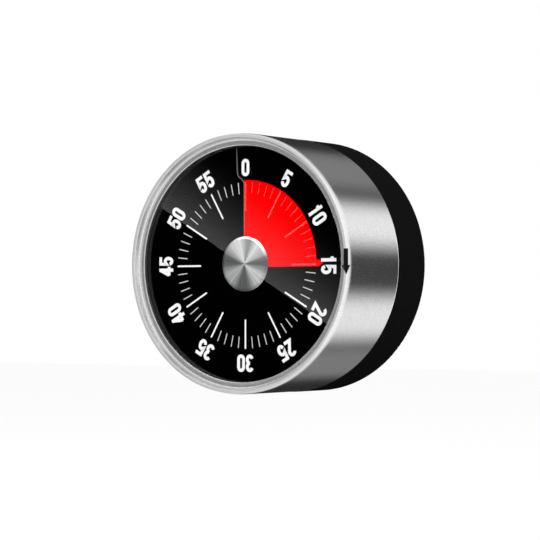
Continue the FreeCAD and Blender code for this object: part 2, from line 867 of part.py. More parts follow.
def hammer_lever():
    """The bell's hammer: a round brass head inside the bell's rim, and a tail that reaches the cam."""
    low = cam_low
    high = low + hammer_thickness
    head_circle = bell_radius - bell_wall - hammer_lift - hammer_head_radius
    head_place = clock(head_circle, hammer_head_direction)
    tail_place = clock(cam_radius + tail_gap + tail_pin_radius, tail_direction)
    head_low = bell_seat + bell_height - hammer_reach
    pieces = [bar(hammer_pivot, head_place, hammer_width, low, high),
              disc(hammer_head_radius, head_low, high, head_place),
              bar(hammer_pivot, tail_place, tail_pin_radius * 2, low, high),
              disc(hammer_width, low, high, hammer_pivot)]
    return joined(pieces).cut(disc(hammer_pin_radius + running_gap, low, high, hammer_pivot))


os.makedirs("parts", exist_ok=True)
pieces = [
    steel_ring, ring_carrier, lens, hub_cap, dial_plate, inner_case, rear_housing, case_screws, back_magnet,
    grip_ring, glide_ring, front_plate, back_plate, pillars, pillar_nuts, movement_screws, spring_post,
    arbor_bush, main_arbor, mainspring, great_wheel, ratchet_wheel, click, second_arbor, second_wheel,
    third_arbor, third_wheel, escape_arbor, escape_wheel, pallet_arbor, pallet_lever, release_cam,
    hammer_lever, hammer_pin, bell, bell_screw, red_film,
]
for piece in pieces:
    save(piece.__name__, piece())
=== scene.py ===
import math

import bmesh
import bpy
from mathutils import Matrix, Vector
from mathutils.bvhtree import BVHTree

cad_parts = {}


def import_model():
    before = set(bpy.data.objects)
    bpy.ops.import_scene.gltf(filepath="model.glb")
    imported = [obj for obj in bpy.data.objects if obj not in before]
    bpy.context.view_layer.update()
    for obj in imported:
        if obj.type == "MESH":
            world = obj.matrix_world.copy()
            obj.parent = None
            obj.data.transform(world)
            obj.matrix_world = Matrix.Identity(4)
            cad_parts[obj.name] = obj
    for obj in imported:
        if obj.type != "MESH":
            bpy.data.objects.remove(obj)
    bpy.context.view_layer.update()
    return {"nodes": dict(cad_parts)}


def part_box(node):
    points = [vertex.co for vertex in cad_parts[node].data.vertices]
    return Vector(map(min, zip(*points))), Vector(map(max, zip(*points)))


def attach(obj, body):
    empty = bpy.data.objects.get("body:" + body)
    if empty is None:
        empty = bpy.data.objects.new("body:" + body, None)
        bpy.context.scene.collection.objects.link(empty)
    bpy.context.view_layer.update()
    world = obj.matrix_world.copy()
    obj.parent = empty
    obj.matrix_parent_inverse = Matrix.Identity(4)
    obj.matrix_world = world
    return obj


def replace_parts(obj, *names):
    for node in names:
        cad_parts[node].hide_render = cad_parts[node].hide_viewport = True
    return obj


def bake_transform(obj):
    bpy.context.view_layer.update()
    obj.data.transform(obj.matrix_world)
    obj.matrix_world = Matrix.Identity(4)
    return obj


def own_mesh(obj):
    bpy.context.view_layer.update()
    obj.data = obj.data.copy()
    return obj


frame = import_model()

# A wind-up 60 minute visual timer. Sizes are in millimetres and become metres in point(): x to the right,
# y to 12 o'clock and height towards the reader from the back face. Clock angles run from 12 o'clock.
MM = 0.001

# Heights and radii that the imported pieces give
dial_front = -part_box("dial_plate")[0].y / MM
dial_back = -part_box("dial_plate")[1].y / MM
film_front = -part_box("red_film")[0].y / MM
film_rear = -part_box("red_film")[1].y / MM
ring_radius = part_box("steel_ring")[1].x / MM
lens_front = -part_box("lens")[0].y / MM

# Dial printing
print_thickness = 0.03
print_drop = 0.4
mark_outer = 25.1
five_mark_inner = 16.25
five_mark_width = 0.5
minute_mark_inner = 21.5
minute_mark_outer = 25.0
minute_mark_width = 0.26
numeral_low = 26.75
numeral_height = 5.25
numeral_width = 2.8
numeral_stroke = 1.0
numeral_gap = 0.35
slit_path = [(-0.3, 24.2), (-0.7, 25.0), (-1.4, 25.7), (-2.2, 26.25), (-2.65, 26.9), (-2.8, 27.8),
             (-3.1, 35.1)]
slit_start = 4.0
slit_half = 0.2
slit_edge_width = 0.14
slit_edge_depth = 0.5

# Red film
film_radius = 25.2
film_bore = 3.0
film_thickness = 0.12
film_left = -0.3
film_lead = 1.0
film_bend = 0.1
film_bend_steps = 3
film_rear_thickness = 0.1
film_rear_sides = 120
tab_half = 0.975
tab_shoulder = 26.1
tab_tip = 27.5
film_columns = 30
film_rings = 12
rest_angle = 90.0

# Steel ring: half section from the side round the bead to the lip, as (radius, height, fillet) corners
ring_sides = 240
bead_shoulder = 3.0
bead_taper = 0.28
bead_top = 46.4
bead_back = 43.4
bead_fillet = 0.55
ring_section = [(37.75, bead_top, bead_fillet), (37.2, 44.2, 0.5), (35.61, 44.2, 0.0), (35.46, 44.05, 0.0),
                (35.46, bead_back, 0.0), (38.2, bead_back, 0.0), (38.2, 16.3, 0.0), (38.85, 16.3, 0.0),
                (39.0, 17.0, 0.0), (39.0, 17.1, 0.0), (39.0, 43.3, 0.0)]
smooth_below = 30
fillet_steps = 10
shoulder_steps = 8

# Arrow printed on the ring at 3 o'clock, pointing clockwise. Its widths are measured across the line of sight
# that the print faces, from the timer's axis.
arrow_faces = 33.6
arrow_tail = 3.9
arrow_neck = -0.85
arrow_tip = -3.6
arrow_shaft = (5.82, 7.05)
arrow_head = (5.24, 7.7)
arrow_lift = 0.01
arrow_thickness = 0.02
arrow_steps = 48
arrow_rows = 12
arrow_point = 0.98
arrow_joint = 0.002

# Camera
image_size = 540
camera_azimuth = 33.58
camera_elevation = -1.36
camera_distance = 645.2
camera_lens = 141.54
camera_target = Vector((0.0, -31.4, 0.0))
target_pixel = (263.3, 264.6)

# Studio
floor_drop = 120.0
floor_size = 6.0
backdrop_strength = 1.0
diffuse_sky = 0.45
lights_centre = Vector((0.0, -0.03, 0.0))
floor_glow = 0.75

# What gloss sees round the timer. Each hump is (direction, half width, edge, change), in degrees round the
# timer's axis from 3 o'clock towards 12, or from 12 o'clock clockwise for the rim.
strip_lights = [(38, 7, 25, 1.0), (-50, 8, 26, 0.95), (98, 11, 26, 0.21), (-103, 10, 22, 0.21)]
strip_base = 0.01
rear_spot = (0.93, 0.97, 1.3)
tent_humps = [(0, 50, 40, 0.3), (180, 20, 35, -0.5)]
tent_front = (-0.8, -0.25, 0.5)
tent_edge = (0.745, 0.80)
tent_edge_left = (-0.45, 0.05)
left_half_width = 25.0
left_edge = 35.0
# The dark card that the lens mirrors, and the rings round it, by degrees off the mirrored line of sight
card_edge = (3.7, 4.1)
rim_edge = (6.0, 9.0)
collar_edge = (30.0, 45.0)
rim_level = 0.45
rim_humps = [(-145, 50, 90, 0.45)]
collar_level = 0.85
# The glare on the card starts at a slanted edge and fades out this far from it
glare_edge = -59.2
glare_fade_angle = 30.8
glare_fade_radius = 25.0
glare_level = 0.7
glare_power = 2.3

# Painted highlights and shade on the hub cap's face: a base level, and pale and dark sectors painted into its
# colour, each as (centre, half width, edge, change)
hub_painted_level = 0.13
hub_painted_sectors = [(46, 4, 34, 0.6), (131, 6, 36, 0.5), (-127, 6, 34, 0.36), (-27, 8, 40, 0.56),
               (8, 10, 40, 0.08)]


def point(x, y, height):
    """A place on the timer, given in millimetres."""
    return Vector((x, -height, y)) * MM


def clock(radius, degrees):
    """The x and y of a point at a radius, in degrees clockwise from 12 o'clock."""
    angle = math.radians(degrees)
    return (radius * math.sin(angle), radius * math.cos(angle))


def toward(azimuth, elevation):
    """A unit vector. Azimuth 0 points along -Y, towards the reader of the dial, and 90 along +X."""
    a, e = math.radians(azimuth), math.radians(elevation)
    return Vector((math.sin(a) * math.cos(e), -math.cos(a) * math.cos(e), math.sin(e)))


# Mesh building

def finish_mesh(name, bm, body, material, smooth=False):
    """Turn a bmesh into a piece that rides on a body."""
    bmesh.ops.recalc_face_normals(bm, faces=bm.faces)
    mesh = bpy.data.meshes.new(name)
    bm.to_mesh(mesh)
    bm.free()
    mesh.materials.append(material)
    for face in mesh.polygons:
        face.use_smooth = smooth
    piece = bpy.data.objects.new(name, mesh)
    bpy.context.scene.collection.objects.link(piece)
    if body:
        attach(piece, body)
    return piece


def join_rows(bm, rows, closed=False):
    """Join each row of points to the next one. The points of a row form a loop."""
    count = len(rows[0])
    pairs = list(zip(rows, rows[1:])) + ([(rows[-1], rows[0])] if closed else [])
    for first, second in pairs:
        for k in range(count):
            m = (k + 1) % count
            bm.faces.new((first[k], first[m], second[m], second[k]))


def close_ends(bm, rows):
    bm.faces.new(rows[0])
    bm.faces.new(list(reversed(rows[-1])))


def add_prism(bm, outline, low, high):
    """Add a flat-sided block on a closed outline of (x, y) points."""
    top = [bm.verts.new(point(x, y, high)) for x, y in outline]
    bottom = [bm.verts.new(point(x, y, low)) for x, y in outline]
    bm.faces.new(top)
    bm.faces.new(list(reversed(bottom)))
    count = len(outline)
    for i in range(count):
        j = (i + 1) % count
        bm.faces.new((top[i], bottom[i], bottom[j], top[j]))


def arc(centre, reach, start, end, steps=12):
    """Points along a part of an ellipse. Angles are counter-clockwise from the x axis."""
    points = []
    for i in range(steps + 1):
        angle = math.radians(start + (end - start) * i / steps)
        points.append((centre[0] + reach[0] * math.cos(angle),
                       centre[1] + reach[1] * math.sin(angle)))
    return points


def round_bar(inner, outer, width, degrees):
    """The outline of a radial bar with round ends."""
    half = width / 2
    top = arc((0.0, outer - half), (half, half), 0, 180, 6)
    bottom = arc((0.0, inner + half), (half, half), 180, 360, 6)
    return [turned(x, y, degrees) for x, y in top + bottom]


def turned(x, y, degrees):
    """A point turned clockwise about the dial's centre."""
    angle = math.radians(degrees)
    return (x * math.cos(angle) + y * math.sin(angle), -x * math.sin(angle) + y * math.cos(angle))


def ribbon(path, width, closed=False):
    """The left and right edges of a band of even width along a path, mitred at its corners."""
    count = len(path)
    left, right = [], []
    for i, here in enumerate(path):
        before = path[i - 1] if (i > 0 or closed) else None
        after = path[(i + 1) % count] if (i < count - 1 or closed) else None
        directions = []
        for a, b in ((before, here), (here, after)):
            if a is not None and b is not None:
                step = Vector((b[0] - a[0], b[1] - a[1])).normalized()
                directions.append(step)
        along = sum(directions, Vector((0.0, 0.0))).normalized()
        side = Vector((-along.y, along.x))
        reach = width / 2 / max(0.45, along.dot(directions[0]))
        left.append((here[0] + side.x * reach, here[1] + side.y * reach))
        right.append((here[0] - side.x * reach, here[1] - side.y * reach))
    return left, right


def add_band(bm, path, width, low, high, place, closed=False):
    """Add a raised band along a path. place() puts the band's flat points on the dial."""
    left, right = ribbon(path, width, closed)
    rows = []
    for a, b in zip(left, right):
        (ax, ay), (bx, by) = place(*a), place(*b)
        rows.append([bm.verts.new(point(ax, ay, high)), bm.verts.new(point(bx, by, high)),
                     bm.verts.new(point(bx, by, low)), bm.verts.new(point(ax, ay, low))])
    join_rows(bm, rows, closed)
    if not closed:
        close_ends(bm, rows)


# Numerals: each digit is one or more pen strokes, drawn in a box of width by height

def digit_strokes(digit):
    """The pen's paths for a digit, as (points, closed) pairs."""
    pen = numeral_stroke / 2
    left, right = pen, numeral_width - pen
    low, high = pen, numeral_height - pen
    middle = numeral_width / 2
    reach = (right - left) / 2
    if digit == "0":
        top = arc((middle, high - reach), (reach, reach), 0, 180)
        bottom = arc((middle, low + reach), (reach, reach), 180, 360)
        return [(top + bottom, True)]
    if digit == "1":
        stem = right - 0.55
        flag_low = high - 1.0
        flag = [(stem - pen * 1.9, flag_low), (stem - pen * 0.6, flag_low + 0.12), (stem, high - 0.3)]
        return [([(stem, 0.0), (stem, numeral_height)], False), (flag, False)]
    if digit == "2":
        bowl = high - reach
        curve = arc((middle, bowl), (reach, reach), 165, -28)
        return [(curve + [(left + 0.12, low), (numeral_width, low)], False)]
    if digit == "3":
        bowl = (high - low) * 0.25
        top = arc((middle, high - bowl), (reach, bowl), 160, -90)
        bottom = arc((middle, low + bowl), (reach, bowl), 90, -160)
        return [(top, False), (bottom, False)]
    if digit == "4":
        stem = right - 0.45
        bar = 1.55
        return [([(stem, 0.0), (stem, numeral_height)], False),
                ([(left - 0.35, bar), (numeral_width + 0.05, bar)], False),
                ([(left - 0.15, bar), (stem, numeral_height - 0.35)], False)]
    shoulder = numeral_height * 0.54
    bowl = (shoulder - low) / 2 + 0.12
    curve = arc((middle, low + bowl), (reach, bowl), 128, -160)
    return [([(numeral_width - 0.1, high), (left + 0.1, high), (left, shoulder - 0.35)] + curve, False)]


def add_numeral(bm, text, degrees):
    """Add a number that stands radially, with its top outwards."""
    advance = numeral_width + numeral_gap
    total = advance * len(text) - numeral_gap
    for i, digit in enumerate(text):
        start = i * advance - total / 2

        def place(x, y):
            return printed([turned(x + start, y + numeral_low, degrees)])[0]

        for k, (path, closed) in enumerate(digit_strokes(digit)):
            top = dial_front + print_thickness * (1 + k / 2)
            add_band(bm, path, numeral_stroke, dial_front, top, place, closed)


# Materials

class Nodes:
    """A small helper that writes a material's or the world's node tree."""

    def __init__(self, tree):
        self.tree = tree

    def new(self, kind, **settings):
        node = self.tree.nodes.new(kind)
        for key, value in settings.items():
            setattr(node, key, value)
        return node

    def put(self, socket, value):
        if isinstance(value, bpy.types.NodeSocket):
            self.tree.links.new(value, socket)
        else:
            socket.default_value = value

    def math(self, operation, a, b=0.0):
        node = self.new("ShaderNodeMath", operation=operation)
        self.put(node.inputs[0], a)
        self.put(node.inputs[1], b)
        return node.outputs[0]

    def degrees(self, a, b):
        """The angle whose sine and cosine go as a and b."""
        return self.math("MULTIPLY", self.math("ARCTAN2", a, b), 180.0 / math.pi)

    def dot(self, vector, direction):
        node = self.new("ShaderNodeVectorMath", operation="DOT_PRODUCT")
        self.put(node.inputs[0], vector)
        node.inputs[1].default_value = direction
        return node.outputs["Value"]

    def ramp(self, value, low, high, start=0.0, end=1.0):
        """A smooth step from start to end as the value goes from low to high."""
        node = self.new("ShaderNodeMapRange", interpolation_type="SMOOTHSTEP")
        for key, number in (("From Min", low), ("From Max", high), ("To Min", start), ("To Max", end)):
            node.inputs[key].default_value = number
        self.put(node.inputs["Value"], value)
        return node.outputs["Result"]

    def noise(self, vector, scale, detail=3.0, roughness=0.5):
        node = self.new("ShaderNodeTexNoise")
        self.put(node.inputs["Vector"], vector)
        node.inputs["Scale"].default_value = scale
        node.inputs["Detail"].default_value = detail
        node.inputs["Roughness"].default_value = roughness
        return node.outputs["Fac"]

    def tint(self, factor, dark, light):
        node = self.new("ShaderNodeMix", data_type="RGBA")
        self.put(node.inputs["Factor"], factor)
        node.inputs["A"].default_value = (*dark, 1.0)
        node.inputs["B"].default_value = (*light, 1.0)
        return node.outputs["Result"]

    def bump(self, height, strength, distance):
        node = self.new("ShaderNodeBump")
        node.inputs["Strength"].default_value = strength
        node.inputs["Distance"].default_value = distance
        self.put(node.inputs["Height"], height)
        return node.outputs["Normal"]


def wedge(nodes, angle, centre, half_width, edge):
    """1 within half_width degrees of a direction, falling to 0 over edge degrees."""
    away = nodes.math("ABSOLUTE", nodes.math("SUBTRACT", angle, centre))
    away = nodes.math("MINIMUM", away, nodes.math("SUBTRACT", 360.0, away))
    return nodes.ramp(away, half_width, half_width + edge, 1.0, 0.0)


def wedges(nodes, angle, level, parts):
    """A level round a circle with a smooth hump or dip for each (centre, half width, edge, change)."""
    for centre, half_width, edge, change in parts:
        hump = wedge(nodes, angle, centre, half_width, edge)
        level = nodes.math("ADD", level, nodes.math("MULTIPLY", hump, change))
    return level


def between(nodes, factor, first, second):
    """The first value where the factor is 0 and the second where it is 1."""
    mix = nodes.new("ShaderNodeMix", data_type="FLOAT")
    nodes.put(mix.inputs["Factor"], factor)
    nodes.put(mix.inputs["A"], first)
    nodes.put(mix.inputs["B"], second)
    return mix.outputs["Result"]


def scaled(colour, share):
    """A lighter or darker colour."""
    return tuple(min(1.0, channel * share) for channel in colour)


def surface(name, colour, roughness, grain, metallic=0.0, variation=0.12, rough_variation=0.08,
            bump_strength=0.2, bump_depth=0.02, blotches=0.3, **constants):
    """A material whose colour, roughness and bump all follow a fine grain of the given size in mm."""
    material = bpy.data.materials.new(name)
    material.use_nodes = True
    nodes = Nodes(material.node_tree)
    shader = material.node_tree.nodes["Principled BSDF"]
    place = nodes.new("ShaderNodeTexCoord").outputs["Object"]
    fine = nodes.noise(place, 1.0 / (grain * MM))
    broad = nodes.noise(place, 0.12 / (grain * MM), 2.0)
    mixed = nodes.math("ADD", nodes.math("MULTIPLY", fine, 1 - blotches),
                       nodes.math("MULTIPLY", broad, blotches))
    dark, light = scaled(colour, 1 - variation), scaled(colour, 1 + variation)
    tinted = nodes.tint(nodes.ramp(mixed, 0.3, 0.7), dark, light)
    nodes.put(shader.inputs["Base Color"], tinted)
    worn = nodes.ramp(mixed, 0.3, 0.7, roughness - rough_variation, roughness + rough_variation)
    nodes.put(shader.inputs["Roughness"], worn)
    nodes.put(shader.inputs["Normal"], nodes.bump(fine, bump_strength, bump_depth * MM))
    shader.inputs["Metallic"].default_value = metallic
    for key, value in constants.items():
        shader.inputs[key.replace("_", " ")].default_value = value
    return material


def blasted_steel():
    """The ring's metal: fine blasting, smoother on the side than on the bead and the lip."""
    material = surface("blasted_steel", (0.76, 0.76, 0.76), 0.15, 0.4, metallic=1.0, variation=0.09,
                       bump_strength=0.1, bump_depth=0.004, blotches=0.0)
    nodes = Nodes(material.node_tree)
    shader = material.node_tree.nodes["Principled BSDF"]
    parts = nodes.new("ShaderNodeSeparateXYZ")
    nodes.put(parts.inputs[0], nodes.new("ShaderNodeTexCoord").outputs["Object"])
    front = -(bead_back + bead_shoulder / 2) * MM
    worn = nodes.ramp(parts.outputs["Y"], front - MM / 2, front + MM / 2, 0.34, 0.17)
    nodes.put(shader.inputs["Roughness"], worn)
    return material


def spun_metal():
    """The hub cap's spun face: fine rings about the arbor in its roughness and bump, and pale and dark
    sectors with fine spokes painted into its colour, painted highlights standing in for the streaks a spun
    face reflects."""
    material = bpy.data.materials.new("spun_metal")
    material.use_nodes = True
    nodes = Nodes(material.node_tree)
    shader = material.node_tree.nodes["Principled BSDF"]
    place = nodes.new("ShaderNodeTexCoord").outputs["Object"]
    parts = nodes.new("ShaderNodeSeparateXYZ")
    nodes.put(parts.inputs[0], place)
    angle = nodes.degrees(parts.outputs["X"], parts.outputs["Z"])
    # Painted highlights: pale and dark sectors round the face and fine streaks along its spokes, in the base
    # colour
    painted_sheen = wedges(nodes, angle, hub_painted_level, hub_painted_sectors)
    turn = nodes.new("ShaderNodeCombineXYZ")
    nodes.put(turn.inputs[0], nodes.math("SINE", nodes.math("MULTIPLY", angle, math.pi / 180.0)))
    nodes.put(turn.inputs[1], nodes.math("COSINE", nodes.math("MULTIPLY", angle, math.pi / 180.0)))
    painted_streaks = nodes.ramp(nodes.noise(turn.outputs[0], 9.0, 4.0, 0.7), 0.3, 0.7, 0.8, 1.2)
    shade = nodes.new("ShaderNodeCombineColor")
    for socket in shade.inputs[:3]:
        nodes.put(socket, nodes.math("MULTIPLY", painted_sheen, painted_streaks))
    nodes.put(shader.inputs["Base Color"], shade.outputs[0])
    rings = nodes.new("ShaderNodeTexWave", wave_type="RINGS", rings_direction="Y")
    nodes.put(rings.inputs["Vector"], place)
    rings.inputs["Scale"].default_value = 900.0
    rings.inputs["Distortion"].default_value = 0.6
    rings.inputs["Detail"].default_value = 2.0
    groove = rings.outputs["Fac"]
    nodes.put(shader.inputs["Roughness"], nodes.ramp(groove, 0.0, 1.0, 0.36, 0.42))
    nodes.put(shader.inputs["Normal"], nodes.bump(groove, 0.05, 0.004 * MM))
    shader.inputs["Metallic"].default_value = 1.0
    return material


clear_acrylic = surface("clear_acrylic", (0.97, 0.975, 0.98), 0.003, 3.0, variation=0.004,
                        rough_variation=0.002, bump_strength=0.0, Transmission_Weight=1.0, IOR=1.49)
# Satin red film, thin enough that the white marks show through it. Its faint red glow is painted light.
red_sheet = surface("red_sheet", (0.90, 0.0, 0.0), 0.5, 0.4, variation=0.03, bump_strength=0.05,
                    bump_depth=0.005, Alpha=0.62, Specular_IOR_Level=0.0, Emission_Strength=0.12,
                    Emission_Color=(1.0, 0.0, 0.0, 1.0))
materials = {
    "bezel_steel": blasted_steel(),
    "carrier_plastic": surface("carrier_plastic", (0.022, 0.022, 0.023), 0.45, 0.5, Specular_IOR_Level=0.3),
    "lens_clear": clear_acrylic,
    "hub_metal": spun_metal(),
    "dial_print": surface("dial_print", (0.0004, 0.0004, 0.0004), 0.6, 0.5, variation=0.3,
                          Specular_IOR_Level=0.0),
    "film_red": red_sheet,
    "case_plastic": surface("case_plastic", (0.02, 0.02, 0.02), 0.5, 0.6, Specular_IOR_Level=0.3),
    "housing_black": surface("housing_black", (0.009, 0.009, 0.0092), 0.5, 0.45, bump_strength=0.25,
                             Specular_IOR_Level=0.0),
    "magnet_nickel": surface("magnet_nickel", (0.62, 0.61, 0.58), 0.18, 1.2, metallic=1.0),
    "grip_rubber": surface("grip_rubber", (0.02, 0.02, 0.021), 0.75, 0.5, bump_strength=0.35),
    "glide_plastic": surface("glide_plastic", (0.05, 0.05, 0.05), 0.3, 0.8),
    "screw_steel": surface("screw_steel", (0.56, 0.56, 0.57), 0.32, 0.3, metallic=1.0),
    "plate_brass": surface("plate_brass", (0.80, 0.60, 0.28), 0.3, 0.5, metallic=1.0),
    "post_steel": surface("post_steel", (0.6, 0.6, 0.6), 0.25, 0.3, metallic=1.0),
    "wheel_brass": surface("wheel_brass", (0.83, 0.64, 0.30), 0.28, 0.4, metallic=1.0),
    "arbor_steel": surface("arbor_steel", (0.62, 0.62, 0.63), 0.22, 0.25, metallic=1.0),
    "spring_steel": surface("spring_steel", (0.20, 0.24, 0.36), 0.25, 0.5, metallic=1.0),
    "lever_steel": surface("lever_steel", (0.58, 0.58, 0.58), 0.35, 0.35, metallic=1.0),
    "bell_steel": surface("bell_steel", (0.66, 0.66, 0.66), 0.2, 0.8, metallic=1.0),
}
white_ink = surface("white_ink", (0.92, 0.92, 0.92), 0.55, 0.4, variation=0.02, bump_strength=0.05,
                    Specular_IOR_Level=0.1)
grey_ink = surface("grey_ink", (0.66, 0.66, 0.66), 0.55, 0.4, variation=0.02, bump_strength=0.05,
                   Specular_IOR_Level=0.1)
cut_edge = surface("cut_edge", (0.24, 0.24, 0.24), 0.6, 0.3, Specular_IOR_Level=0.1)
black_ink = surface("black_ink", (0.002, 0.002, 0.002), 0.6, 0.3, Specular_IOR_Level=0.1)

for node in frame["nodes"].values():
    slot_name = node.data.materials[0].name
    node.data.materials[0] = materials[slot_name]

# The lens lets light through to the dial
lens = frame["nodes"]["lens"]
lens.visible_shadow = False
lens.visible_diffuse = False


# Dial printing

def printed(outline):
    """An outline moved to where the dial is printed, slightly low on its plate."""
    return [(x, y - print_drop) for x, y in outline]


def minute_marks():
    bm = bmesh.new()
    for minute in range(60):
        if minute % 5:
            outline = round_bar(minute_mark_inner, minute_mark_outer, minute_mark_width, minute * 6.0)
            add_prism(bm, printed(outline), dial_front, dial_front + print_thickness)
    return finish_mesh("minute_marks", bm, "case", grey_ink)


def five_minute_marks():
    """The long marks. The one at 0 stands beside the slit."""
    bm = bmesh.new()
    half = five_mark_width / 2
    slit_right = film_left + slit_half
    for minute in range(0, 60, 5):
        outline = round_bar(five_mark_inner, mark_outer, five_mark_width, minute * 6.0)
        if minute == 0:
            outline = [(slit_right, five_mark_inner), (half, five_mark_inner), (half, mark_outer),
                       (slit_right, mark_outer)]
        add_prism(bm, printed(outline), dial_front, dial_front + print_thickness)
    return finish_mesh("five_minute_marks", bm, "case", white_ink)


def numerals():
    for minute in range(0, 60, 5):
        bm = bmesh.new()
        add_numeral(bm, str(minute), minute * 6.0)
        finish_mesh(f"numeral_{minute}", bm, "case", white_ink)


def slit_edge():
    """The dial's pale cut edge along the slit's left side: a thin lip on the face and a wall below it."""
    bm = bmesh.new()
    edge, _ = ribbon([(film_left, slit_start)] + slit_path, slit_half * 2)
    outside, inside = ribbon(edge, slit_edge_width)
    top = dial_front + print_thickness
    low = dial_front - slit_edge_depth
    rows = []
    for (ox, oy), (ix, iy) in zip(outside, inside):
        rows.append([bm.verts.new(point(ox, oy, top)), bm.verts.new(point(ix, iy, top)),
                     bm.verts.new(point(ix, iy, low)), bm.verts.new(point(ox, oy, low))])
    join_rows(bm, rows)
    close_ends(bm, rows)
    return finish_mesh("slit_edge", bm, "case", cut_edge)


# Red film

def red_film_front():
    """The quarter of the film over the dial, at rest. On the timer it shrinks to the slit as the ring turns
    back to 0; here each point only carries a turn weight, 0 at the slit and 1 at the leading edge.
    """
    top, low = film_front, film_front - film_thickness
    radii = [film_bore + (film_radius - film_bore) * i / film_rings for i in range(film_rings + 1)]
    outer_face = film_left - film_thickness / 2
    inner_face = film_left + film_thickness / 2
    lead = [(math.sqrt(r * r - film_lead ** 2), -film_lead) for r in radii]

    def upright(x):
        return [(x, math.sqrt(r * r - x * x)) for r in radii]

    # Top side: up the web from behind the dial, round the bend and across to the leading edge
    stations = [(upright(outer_face), dial_back, 0.0), (upright(outer_face), top - film_bend, 0.0)]
    for i in range(1, film_bend_steps + 1):
        angle = math.radians(90 * i / film_bend_steps)
        x = outer_face + film_bend * (1 - math.cos(angle))
        stations.append((upright(x), top - film_bend * (1 - math.sin(angle)), 0.0))
    sweep = [i / film_columns for i in range(film_columns + 1)]
    stations += [([clock(r, rest_angle * share) for r in radii], top, share) for share in sweep]
    stations += [(lead, top, 1.0), (lead, low, 1.0)]
    # Under side: back to the foot of the web
    stations += [([clock(r, rest_angle * share) for r in radii], low, share) for share in reversed(sweep)]
    stations += [(upright(inner_face), low, 0.0), (upright(inner_face), dial_back, 0.0)]
    bm = bmesh.new()
    weights = bm.verts.layers.float.new("turn")
    columns = []
    for line, height, weight in stations:
        column = [bm.verts.new(point(x, y, height)) for x, y in line]
        for made in column:
            made[weights] = weight
        columns.append(column)
    count = len(columns)
    for i in range(count):
        first, second = columns[i], columns[(i + 1) % count]
        for k in range(film_rings):
            bm.faces.new((first[k], first[k + 1], second[k + 1], second[k]))
    # Rim and bore edges, joining each top station to the one below it
    half = count // 2
    for k in (0, film_rings):
        for i in range(half - 1):
            a, b = columns[i][k], columns[i + 1][k]
            d, c = columns[count - 1 - i][k], columns[count - 2 - i][k]
            if len({a, b, c, d}) == 4:
                bm.faces.new((a, b, c, d))
    # The tab on the leading edge
    heights = [tab_half * share for share in (1.0, 0.5, 0.0, -0.5, -1.0)]
    rim = [(math.sqrt(film_radius ** 2 - y * y), y) for y in heights]
    outline = rim + [(tab_shoulder, -tab_half), (tab_tip, 0.0), (tab_shoulder, tab_half)]
    before = set(bm.verts)
    add_prism(bm, outline, low, top)
    for made in set(bm.verts) - before:
        made[weights] = 1.0
    bm.verts.index_update()
    piece = finish_mesh("red_film_front", bm, None, materials["film_red"])
    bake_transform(piece)
    piece.visible_shadow = False
    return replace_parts(piece, "red_film")


def red_film_rear():
    """The rest of the film, as a flat ring behind the dial. On the timer it comes to the front as the ring
    reaches 60 minutes; this piece stays behind the dial.
    """
    bm = bmesh.new()
    low = film_rear
    high = film_rear + film_rear_thickness
    rows = []
    for i in range(film_rear_sides):
        angle = 360.0 * i / film_rear_sides
        (ox, oy), (ix, iy) = clock(film_radius, angle), clock(film_bore, angle)
        rows.append([bm.verts.new(point(ox, oy, high)), bm.verts.new(point(ix, iy, high)),
                     bm.verts.new(point(ix, iy, low)), bm.verts.new(point(ox, oy, low))])
    join_rows(bm, rows, closed=True)
    piece = finish_mesh("red_film_rear", bm, "case", materials["film_red"])
    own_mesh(piece)
    piece.visible_shadow = False
    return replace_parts(piece, "red_film")


# Steel ring and the arrow printed on it

def rounded(corners):
    """A path through (radius, height, fillet) corners, with an arc in place of each one that has a fillet."""
    path = []
    for i, (radius, height, fillet) in enumerate(corners):
        corner = Vector((radius, height))
        if not fillet:
            path.append(corner)
            continue
        before = (Vector(corners[i - 1][:2]) - corner).normalized()
        after = (Vector(corners[i + 1][:2]) - corner).normalized()
        half = before.angle(after) / 2
        centre = corner + (before + after).normalized() * fillet / math.sin(half)
        first = corner + before * fillet / math.tan(half) - centre
        last = corner + after * fillet / math.tan(half) - centre
        turn = first.angle_signed(last)
        for k in range(fillet_steps + 1):
            angle = turn * k / fillet_steps
            c, n = math.cos(angle), math.sin(angle)
            path.append(centre + Vector((first.x * c + first.y * n, first.y * c - first.x * n)))
    return path


def ring_shell():
    """The steel ring, turned from its section with enough facets for a clean highlight along the bead."""
    shoulder = []
    for i in range(shoulder_steps + 1):
        rise = i / shoulder_steps
        shoulder.append((ring_radius - bead_taper * rise ** 2, bead_back + bead_shoulder * rise, 0.0))
    shoulder[-1] = (ring_radius - bead_taper, bead_top, bead_fillet)
    path = rounded([p for p in shoulder if p[1] < bead_top - bead_fillet * 0.8 or p[2]] + ring_section)
    bm = bmesh.new()
    rows = []
    for i in range(ring_sides):
        x, y = clock(1.0, 360.0 * i / ring_sides)
        rows.append([bm.verts.new(point(x * p.x, y * p.x, p.y)) for p in path])
    join_rows(bm, rows, closed=True)
    steel = materials["bezel_steel"]
    ring = finish_mesh("ring_shell", bm, "ring_assembly", steel, smooth=True)
    ring.data.set_sharp_from_angle(angle=math.radians(smooth_below))
    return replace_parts(ring, "steel_ring")


